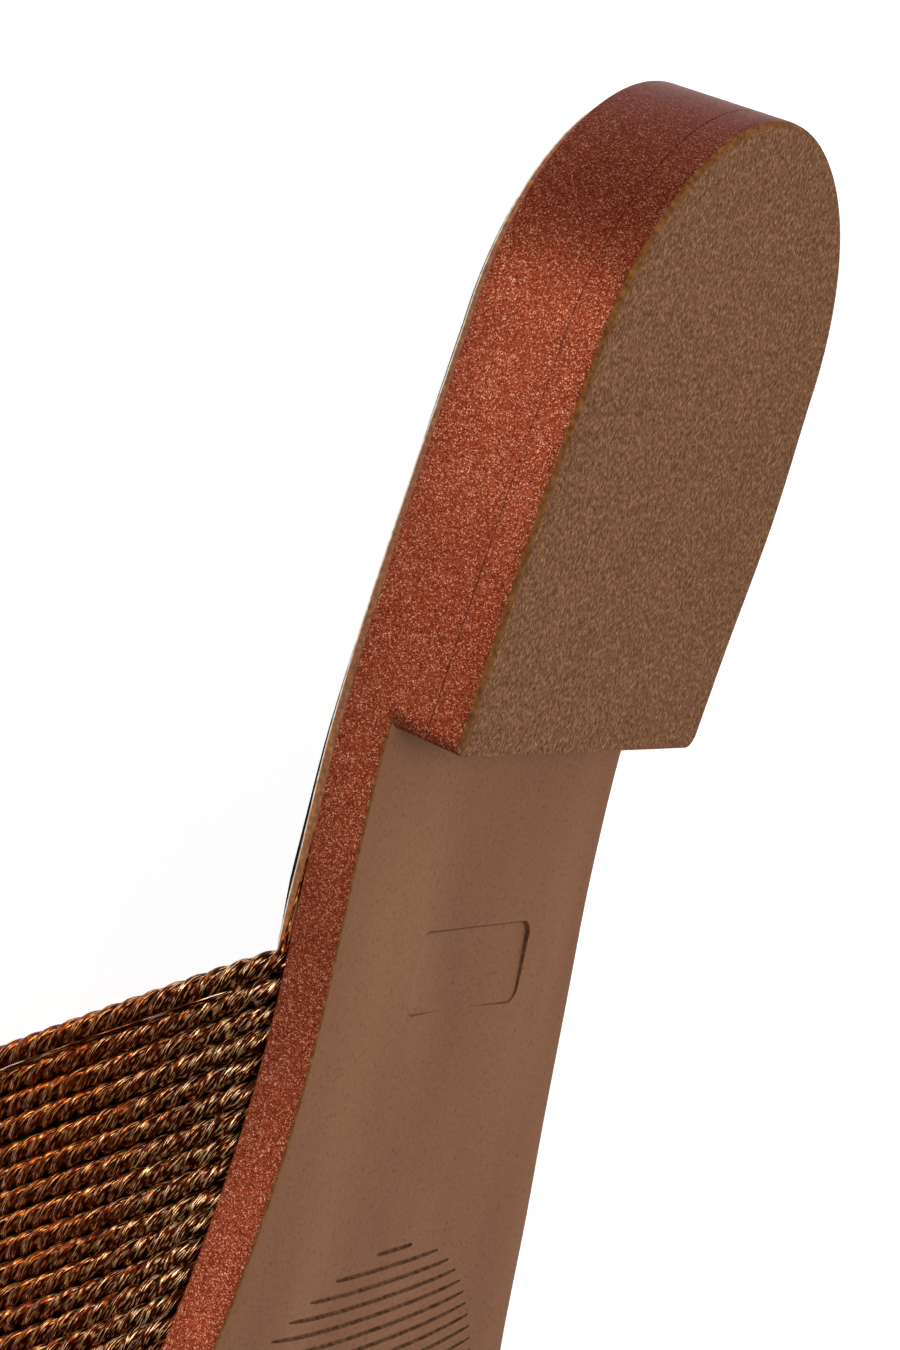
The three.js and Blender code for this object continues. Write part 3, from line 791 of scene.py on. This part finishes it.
# Cut edge of the cover: matt black
COVER_FIBRE_MM = 1.2
cover_edge, shader = new_material("black_cover_edge")
place = node(cover_edge, "ShaderNodeTexCoord").outputs["Object"]
fibres = node(cover_edge, "ShaderNodeTexNoise", {
    "Vector": place, "Scale": 1 / (COVER_FIBRE_MM * MM), "Detail": 2.0,
})
dark = node(cover_edge, "ShaderNodeValToRGB", {"Fac": fibres.outputs["Fac"]},
            stops=[(0.35, "#100D0B"), (0.65, "#26201C")])
finish_of(cover_edge, shader, Base_Color=dark.outputs["Color"], Roughness=1.0, Specular_IOR_Level=0.05)


# where the tan edge starts over the footbed, where the rim ends and the cover starts over the tan leather,
# and how steep the cover's edge is at least
TAN_START = 0.05
RIM_END = 0.005
COVER_START = 0.01
COVER_LEAN = 0.9


def on_tan_edge(middle, normal):
    return TAN_START < middle.z - footbed(middle.y) < TAN_THICKNESS - RIM_HEIGHT


# The upper rim of the tan leather is painted with a highlight.
def on_tan_rim(middle, normal):
    return -RIM_HEIGHT < middle.z - footbed(middle.y) - TAN_THICKNESS < RIM_END


def on_cover_edge(middle, normal):
    return abs(normal.z) < COVER_LEAN and middle.z > footbed(middle.y) + TAN_THICKNESS + COVER_START


paint(
    insole,
    (lining, None),
    (tan_edge, on_tan_edge),
    (painted_rim_highlight, on_tan_rim),
    (cover_edge, on_cover_edge),
)
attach(insole, "root")
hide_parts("insole")

# The upper is one wide band: twisted metallic cords laid side by side and stitched to a dark cloth backing.
# Its two feet are lasted under the insole. The backing is a thin wall that closes the gaps between the cords.
CORD_COUNT = 28
BAND_BULGE = 3.2
BAND_REAR_LEAN = 0.795
BAND_FRONT_LEAN = 0.95
BAND_REAR_HEIGHT = 53
BAND_FULLNESS = 2.35
BAND_START = 0.1
FOOT_SWEEP = 3
RIDGE_SHIFT = 3
# share of the way from the band's rear edge to its front one, share of the rear height
BAND_HEIGHTS = [(0, 1), (0.25, 0.85), (0.5, 0.725), (0.75, 0.625), (1, 0.545)]
NORMAL_STEP = 0.004
# the backing: how far its outer face is under that surface, its ends across the band, and its crease angle
BACKING_DEPTH = 0.5
BACKING_ENDS = (0.008, 0.992)
BACKING_CREASE = math.radians(40)


def band(across, around):
    """Points of the band's surface, close over the cords' middles: across goes from the rear edge to the
    front one, and around from the left foot over the ridge to the right one."""
    across, around = np.broadcast_arrays(np.asarray(across, float), np.asarray(around, float))
    foot_y = BAND_REAR_FOOT + BAND_FOOT_LENGTH * across
    height = BAND_REAR_HEIGHT * through(*zip(*BAND_HEIGHTS), across)
    lean = BAND_REAR_LEAN + (BAND_FRONT_LEAN - BAND_REAR_LEAN) * across
    angle = math.pi * around
    rise = np.clip(np.sin(angle), 0, 1) ** (2 / BAND_FULLNESS)
    reach = -np.sign(np.cos(angle)) * np.abs(np.cos(angle)) ** (2 / BAND_FULLNESS)
    half = sole_half(foot_y) - BAND_INSET - CORD_RISE + BAND_BULGE * 4 * rise * (1 - rise)
    x = sole_centre(foot_y) - RIDGE_SHIFT * rise**2 + reach * half
    # rise * (1 - rise)**2 is 4/27 at most
    y = foot_y + lean * height * rise + FOOT_SWEEP * across * (27 / 4) * rise * (1 - rise) ** 2
    return np.stack([x, y, footbed(foot_y) + BAND_START + height * rise], -1)


def band_normal(across, around):
    """Outward normal of the band, level at its feet."""
    later = band(across, np.minimum(around + NORMAL_STEP, 1))
    earlier = band(across, np.maximum(around - NORMAL_STEP, 0))
    front = band(np.minimum(across + NORMAL_STEP, 1), around)
    rear = band(np.maximum(across - NORMAL_STEP, 0), around)
    return unit(np.cross(later - earlier, front - rear))


steps = np.linspace(0, 1, 73)
crossing = np.linspace(*BACKING_ENDS, 40)
outer = [band(c, steps) - BACKING_DEPTH * band_normal(c, steps) for c in crossing]
inner = [band(c, steps) - BACKING_THICKNESS * band_normal(c, steps) for c in crossing[::-1]]
backing = loft("cloth_backing", np.array(outer + inner).transpose(1, 0, 2), capped=True)
bpy.ops.object.shade_smooth_by_angle(angle=BACKING_CREASE)

# Backing cloth: dark brown, plain weave, its threads drawn coarser than real ones so that they can show
WEAVE_MM = 2.5
cloth, shader = new_material("dark_backing_cloth")
place = node(cloth, "ShaderNodeTexCoord").outputs["Object"]
warp = node(cloth, "ShaderNodeTexWave", {"Vector": place, "Scale": 1 / (WEAVE_MM * MM)}, bands_direction="Y")
weft = node(cloth, "ShaderNodeTexWave", {"Vector": place, "Scale": 1 / (WEAVE_MM * MM)}, bands_direction="Z")
weave = node(cloth, "ShaderNodeMath", {0: warp.outputs["Fac"], 1: weft.outputs["Fac"]}, operation="MULTIPLY")
dark = node(cloth, "ShaderNodeValToRGB", {"Fac": weave.outputs[0]},
            stops=[(0.0, "#0C0603"), (1.0, "#1C0F08")])
bump = node(cloth, "ShaderNodeBump", {"Height": weave.outputs[0], "Strength": 0.4, "Distance": 0.2 * MM})
finish_of(cloth, shader, Base_Color=dark.outputs["Color"], Roughness=1.0, Specular_IOR_Level=0.1,
          Normal=bump.outputs["Normal"])
paint(backing, (cloth, None))
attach(backing, "root")

# Each cord has three plies of metallic yarn twisted together, about 2.7 mm thick, one turn in 8.4 mm. The
# plies are bundles of fine gold and bronze threads, which show as bright streaks along them.
PLIES = 3
CORD_TURN_MM = 8.4
PLY_RADIUS = 0.74
PLY_OFFSET = 0.6
PLY_SIDES = 9
RINGS_PER_TURN = 18
THREAD_LAY = 0.45
EDGE_CORD_SIZE = 1.08
CORD_SINK = 0.3
FOOT_TUCK = 1.0
FOOT_TUCK_LENGTH = 4
CORDS_PER_PIECE = 7
# size and length of the slow waves in a cord's run, in millimetres, in its twist and in its thickness
SWAYS = [(0.09, 17), (0.05, 6.5)]
SWAY_PITCH = 2.4
TWIST_WAVE = (0.25, 9)
THICKNESS_WAVE = (0.05, 5)
TURN_SPREAD = (0.95, 1.05)

chance = np.random.default_rng(7)


def wave(run, size, length):
    """A slow wave along a cord, which begins anywhere in its swing."""
    return size * np.sin(run / length + chance.uniform(0, 6))


def run_along(line):
    """How far each point of a line is from its start."""
    return np.concatenate([[0], np.cumsum(np.linalg.norm(np.diff(line, axis=0), axis=1))])


def round_strand(name, middle, radius, facing, out, level):
    """A closed strand round its middle line. Facing is the turn of each side, from out towards level."""
    facing = facing[..., None]
    rings = middle[:, None] + radius * (np.cos(facing) * out[:, None] + np.sin(facing) * level[:, None])
    strand = loft(name, rings, capped=True)
    bpy.ops.object.shade_smooth()
    return strand


def yarn_layer(strand):
    """The layer that the yarn's pattern follows, and its values: across the threads, then along them."""
    layer = strand.data.uv_layers.active.data
    laid = np.empty(len(layer) * 2, np.float32)
    layer.foreach_get("uv", laid)
    return layer, laid.reshape(-1, 2)


def cord_plies(index):
    """The plies of one cord. Their yarn is laid in millimetres from the nearer foot of the band."""
    across = (index + 0.5) / CORD_COUNT
    dense = np.linspace(0, 1, 500)
    reach = run_along(band(across, dense))
    length = reach[-1]
    count = int(length / CORD_TURN_MM * RINGS_PER_TURN)
    run = np.linspace(0, length, count)
    around = np.interp(run, reach, dense)
    sway = wave(run, *SWAYS[0]) + wave(run, *SWAYS[1])
    normal = band_normal(np.full(count, across), around)
    centre = band(across + sway / (CORD_COUNT * SWAY_PITCH), around)
    from_end = np.minimum(run, length - run)
    tuck = FOOT_TUCK * np.clip(1 - from_end / FOOT_TUCK_LENGTH, 0, 1) ** 2
    centre = centre + normal * (-CORD_SINK - tuck)[:, None]
    tangent = unit(np.gradient(centre, axis=0))
    level = unit(np.cross(tangent, normal))
    out = np.cross(level, tangent)
    size = EDGE_CORD_SIZE if index == 0 else 1
    turn_length = CORD_TURN_MM * chance.uniform(*TURN_SPREAD)
    phase = chance.uniform(0, 2 * math.pi)
    twist = phase - 2 * math.pi * run / turn_length + wave(run, *TWIST_WAVE)
    fullness = 1 + wave(run, *THICKNESS_WAVE)
    spin = np.linspace(0, 2 * math.pi, PLY_SIDES, endpoint=False)
    for ply in range(PLIES):
        angle = twist + 2 * math.pi * ply / PLIES
        middle = centre + size * PLY_OFFSET * (np.cos(angle)[:, None] * out + np.sin(angle)[:, None] * level)
        radius = (size * PLY_RADIUS * fullness)[:, None, None]
        piece = round_strand(f"ply_{index}", middle, radius, angle[:, None] + spin[None], out, level)
        layer, laid = yarn_layer(piece)
        laid[:, 0] += PLIES * index + ply - THREAD_LAY * laid[:, 1] * length / turn_length
        laid[:, 1] = length * (0.5 - np.abs(laid[:, 1] - 0.5))
        layer.foreach_set("uv", laid.ravel())
        yield piece


# Metallic yarn: brown polyester with gold film, in threads about 0.3 mm apart. Near the band's feet the
# threads get brighter, more contrasty streaks, which are painted glints and fade out further up the band.
THREADS_PER_PLY = 16
THREAD_CONTRAST = 0.08
GLINTS_FULL_MM = 4.0
GLINTS_GONE_MM = 26.0
STREAK_SHARE = 0.8
yarn, shader = new_material("gold_bronze_metallic_yarn")
place = node(yarn, "ShaderNodeUVMap").outputs["UV"]
lanes = node(yarn, "ShaderNodeMapping", {"Vector": place, "Scale": (THREADS_PER_PLY, 0.9, 1)})
shred = node(yarn, "ShaderNodeTexNoise", {"Vector": lanes.outputs["Vector"], "Scale": 1.0, "Detail": 1.5},
             noise_dimensions="2D")
broad = node(yarn, "ShaderNodeMapping", {"Vector": place, "Scale": (4, 0.25, 1)})
drift = node(yarn, "ShaderNodeTexNoise", {"Vector": broad.outputs["Vector"], "Scale": 1.0, "Detail": 1.0},
             noise_dimensions="2D")
from_foot = node(yarn, "ShaderNodeSeparateXYZ", {"Vector": place})
turn = node(yarn, "ShaderNodeMath", {0: from_foot.outputs["X"], 1: 2 * math.pi * THREADS_PER_PLY},
            operation="MULTIPLY")
crest = node(yarn, "ShaderNodeMath", {0: turn.outputs[0]}, operation="SINE")
thread = node(yarn, "ShaderNodeMath", {0: crest.outputs[0], 1: THREAD_CONTRAST, 2: shred.outputs["Fac"]},
              operation="MULTIPLY_ADD")
# Painted glints: the bright near-foot streaks take over within a few millimetres of the band's feet.
painted_glint_share = node(yarn, "ShaderNodeMapRange", {
    "Value": from_foot.outputs["Y"], "From Min": GLINTS_FULL_MM, "From Max": GLINTS_GONE_MM, "To Min": 1.0, "To Max": 0.0,
})
painted_glints = node(yarn, "ShaderNodeValToRGB", {"Fac": thread.outputs[0]}, stops=[
    (0.45, "#160300"), (0.53, "#5D1C08"), (0.568, "#B85E1F"), (0.6, "#F2A850"), (0.65, "#FFE2B0"),
])
on_wall = node(yarn, "ShaderNodeValToRGB", {"Fac": thread.outputs[0]}, stops=[
    (0.39, "#1D0500"), (0.47, "#682206"), (0.55, "#9D430B"), (0.62, "#CC731E"), (0.7, "#FABA6D"),
])
streaks = node(yarn, "ShaderNodeMix", {
    0: painted_glint_share.outputs[0], 6: on_wall.outputs["Color"], 7: painted_glints.outputs["Color"],
}, data_type="RGBA")
tone = node(yarn, "ShaderNodeValToRGB", {"Fac": drift.outputs["Fac"]},
            stops=[(0.35, "#330F02"), (0.65, "#71300C")])
mixed = node(yarn, "ShaderNodeMix", {0: STREAK_SHARE, 6: tone.outputs["Color"], 7: streaks.outputs[2]},
             data_type="RGBA")
bump = node(yarn, "ShaderNodeBump", {"Height": thread.outputs[0], "Strength": 0.9, "Distance": 0.1 * MM})
finish_of(yarn, shader, Base_Color=mixed.outputs[2], Metallic=0.8, Roughness=0.36, Specular_IOR_Level=0.2,
          Normal=bump.outputs["Normal"])


def lay_yarn(piece, across, length, start):
    """Lays the yarn's threads along a single strand. Across is its share of a ply's threads, and start and
    length are in millimetres from the band's foot."""
    layer, laid = yarn_layer(piece)
    laid = laid * np.float32([across, length]) + np.float32([0, start])
    layer.foreach_set("uv", laid.ravel())


# A row of small stitches in the same yarn runs in the first furrow and holds the edge cord down. The furrow
# is counted in cords from the rear edge, and a stitch is lowest where it goes in.
EDGE_THREAD_RADIUS = 0.221
EDGE_THREAD_SIDES = 6
EDGE_THREAD_POINTS = 420
EDGE_STITCH_MM = 3.2
FURROW = 1.05
STITCH_LOWEST = 0.86
STITCH_RISE = 0.28
STITCH_ROUNDNESS = 0.5
THREADS_ACROSS_STITCH = 0.25
STITCH_STREAKS = 0.3
around = np.linspace(0.02, 0.98, EDGE_THREAD_POINTS)
across = np.full(EDGE_THREAD_POINTS, FURROW / CORD_COUNT)
furrow = band(across, around)
reach = run_along(furrow)
out = band_normal(across, around)
height = STITCH_LOWEST + STITCH_RISE * np.abs(np.sin(math.pi * reach / EDGE_STITCH_MM)) ** STITCH_ROUNDNESS
middle = furrow + out * height[:, None]
tangent = unit(np.gradient(middle, axis=0))
facing = np.linspace(0, 2 * math.pi, EDGE_THREAD_SIDES, endpoint=False)[None]
edge_thread = round_strand("edge_stitching", middle, EDGE_THREAD_RADIUS, facing, out, np.cross(tangent, out))
lay_yarn(edge_thread, across=THREADS_ACROSS_STITCH, length=STITCH_STREAKS * reach[-1], start=0)
edge_thread.data.materials.append(yarn)
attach(edge_thread, "root")

# At the left rear foot the last strand of yarn is drawn back a little way along the joint under the insole.
# It starts thin, grows to its full thickness and runs in and up towards the band.
STRAND_START = 86
STRAND_END = 99.6
STRAND_INSET = 0.35
STRAND_DRAWS_IN = 0.35
STRAND_HEIGHT = 0.1
STRAND_CLIMBS = 0.6
STRAND_TIP_RADIUS = 0.1
STRAND_GROWTH = 0.75
THREADS_ACROSS_STRAND = 0.375
run = np.linspace(0, 1, 40)
strand_y = STRAND_START + (STRAND_END - STRAND_START) * run
middle = np.stack([
    sole_centre(strand_y) - sole_half(strand_y) + STRAND_INSET + STRAND_DRAWS_IN * run,
    strand_y,
    footbed(strand_y) + STRAND_HEIGHT + STRAND_CLIMBS * run,
], 1)
thick = (STRAND_TIP_RADIUS + STRAND_GROWTH * run**2)[:, None, None]
to_right, upward = np.array([[1, 0, 0]]), np.array([[0, 0, 1]])
strand = round_strand("drawn_back_strand", middle, thick, facing, to_right, upward)
lay_yarn(strand, across=THREADS_ACROSS_STRAND, length=STRAND_END - STRAND_START, start=GLINTS_GONE_MM)
strand.data.materials.append(yarn)
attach(strand, "root")

for first in range(0, CORD_COUNT, CORDS_PER_PIECE):
    numbers = range(first, min(first + CORDS_PER_PIECE, CORD_COUNT))
    plies = [ply for number in numbers for ply in cord_plies(number)]
    cords = join(f"twisted_cords_{first // CORDS_PER_PIECE + 1}", plies)
    cords.data.materials.append(yarn)
    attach(cords, "root")
    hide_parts("upper")

# Studio: a pale floor, soft boxes on the sole's side and over the heel's side, and a white surround that is
# darker behind the heel.
bpy.ops.object.select_all(action="DESELECT")
bpy.ops.mesh.primitive_plane_add(size=6, location=(0, 0, 0))
floor = bpy.context.active_object
floor.name = "pale_floor"
floor_paint, shader = new_material("pale_floor_paint")
finish_of(floor_paint, shader, Base_Color=(0.92, 0.92, 0.92, 1), Roughness=1.0, Specular_IOR_Level=0.0,
          Emission_Color=(1, 1, 1, 1), Emission_Strength=0.6)
floor.data.materials.append(floor_paint)

world = bpy.data.worlds.new("studio")
bpy.context.scene.world = world
world.use_nodes = True
background = world.node_tree.nodes["Background"]
direction = node(world, "ShaderNodeTexCoord").outputs["Generated"]
along_slipper = node(world, "ShaderNodeSeparateXYZ", {"Vector": direction})
surround = node(world, "ShaderNodeMapRange", {
    "Value": along_slipper.outputs["Y"], "From Min": -0.8, "From Max": 0.3, "To Min": 0.08, "To Max": 0.65,
})
connect(world, background, {"Strength": surround.outputs[0]})

LAMPS_LOOK_AT = (0, 110, 10)


def soft_box(name, place, size, power):
    light = bpy.data.lights.new(name, "AREA")
    light.shape = "SQUARE"
    light.size = size
    light.energy = power
    lamp = bpy.data.objects.new(name, light)
    bpy.context.scene.collection.objects.link(lamp)
    lamp.location = at(place)
    lamp.rotation_euler = (at(LAMPS_LOOK_AT) - lamp.location).to_track_quat("-Z", "Y").to_euler()


soft_box("soft_box_under_sole", (-400, -80, -770), 0.5, 6)
soft_box("soft_box_over_side", (-765, -110, 400), 0.5, 5)
bpy.context.scene.view_settings.view_transform = "Standard"
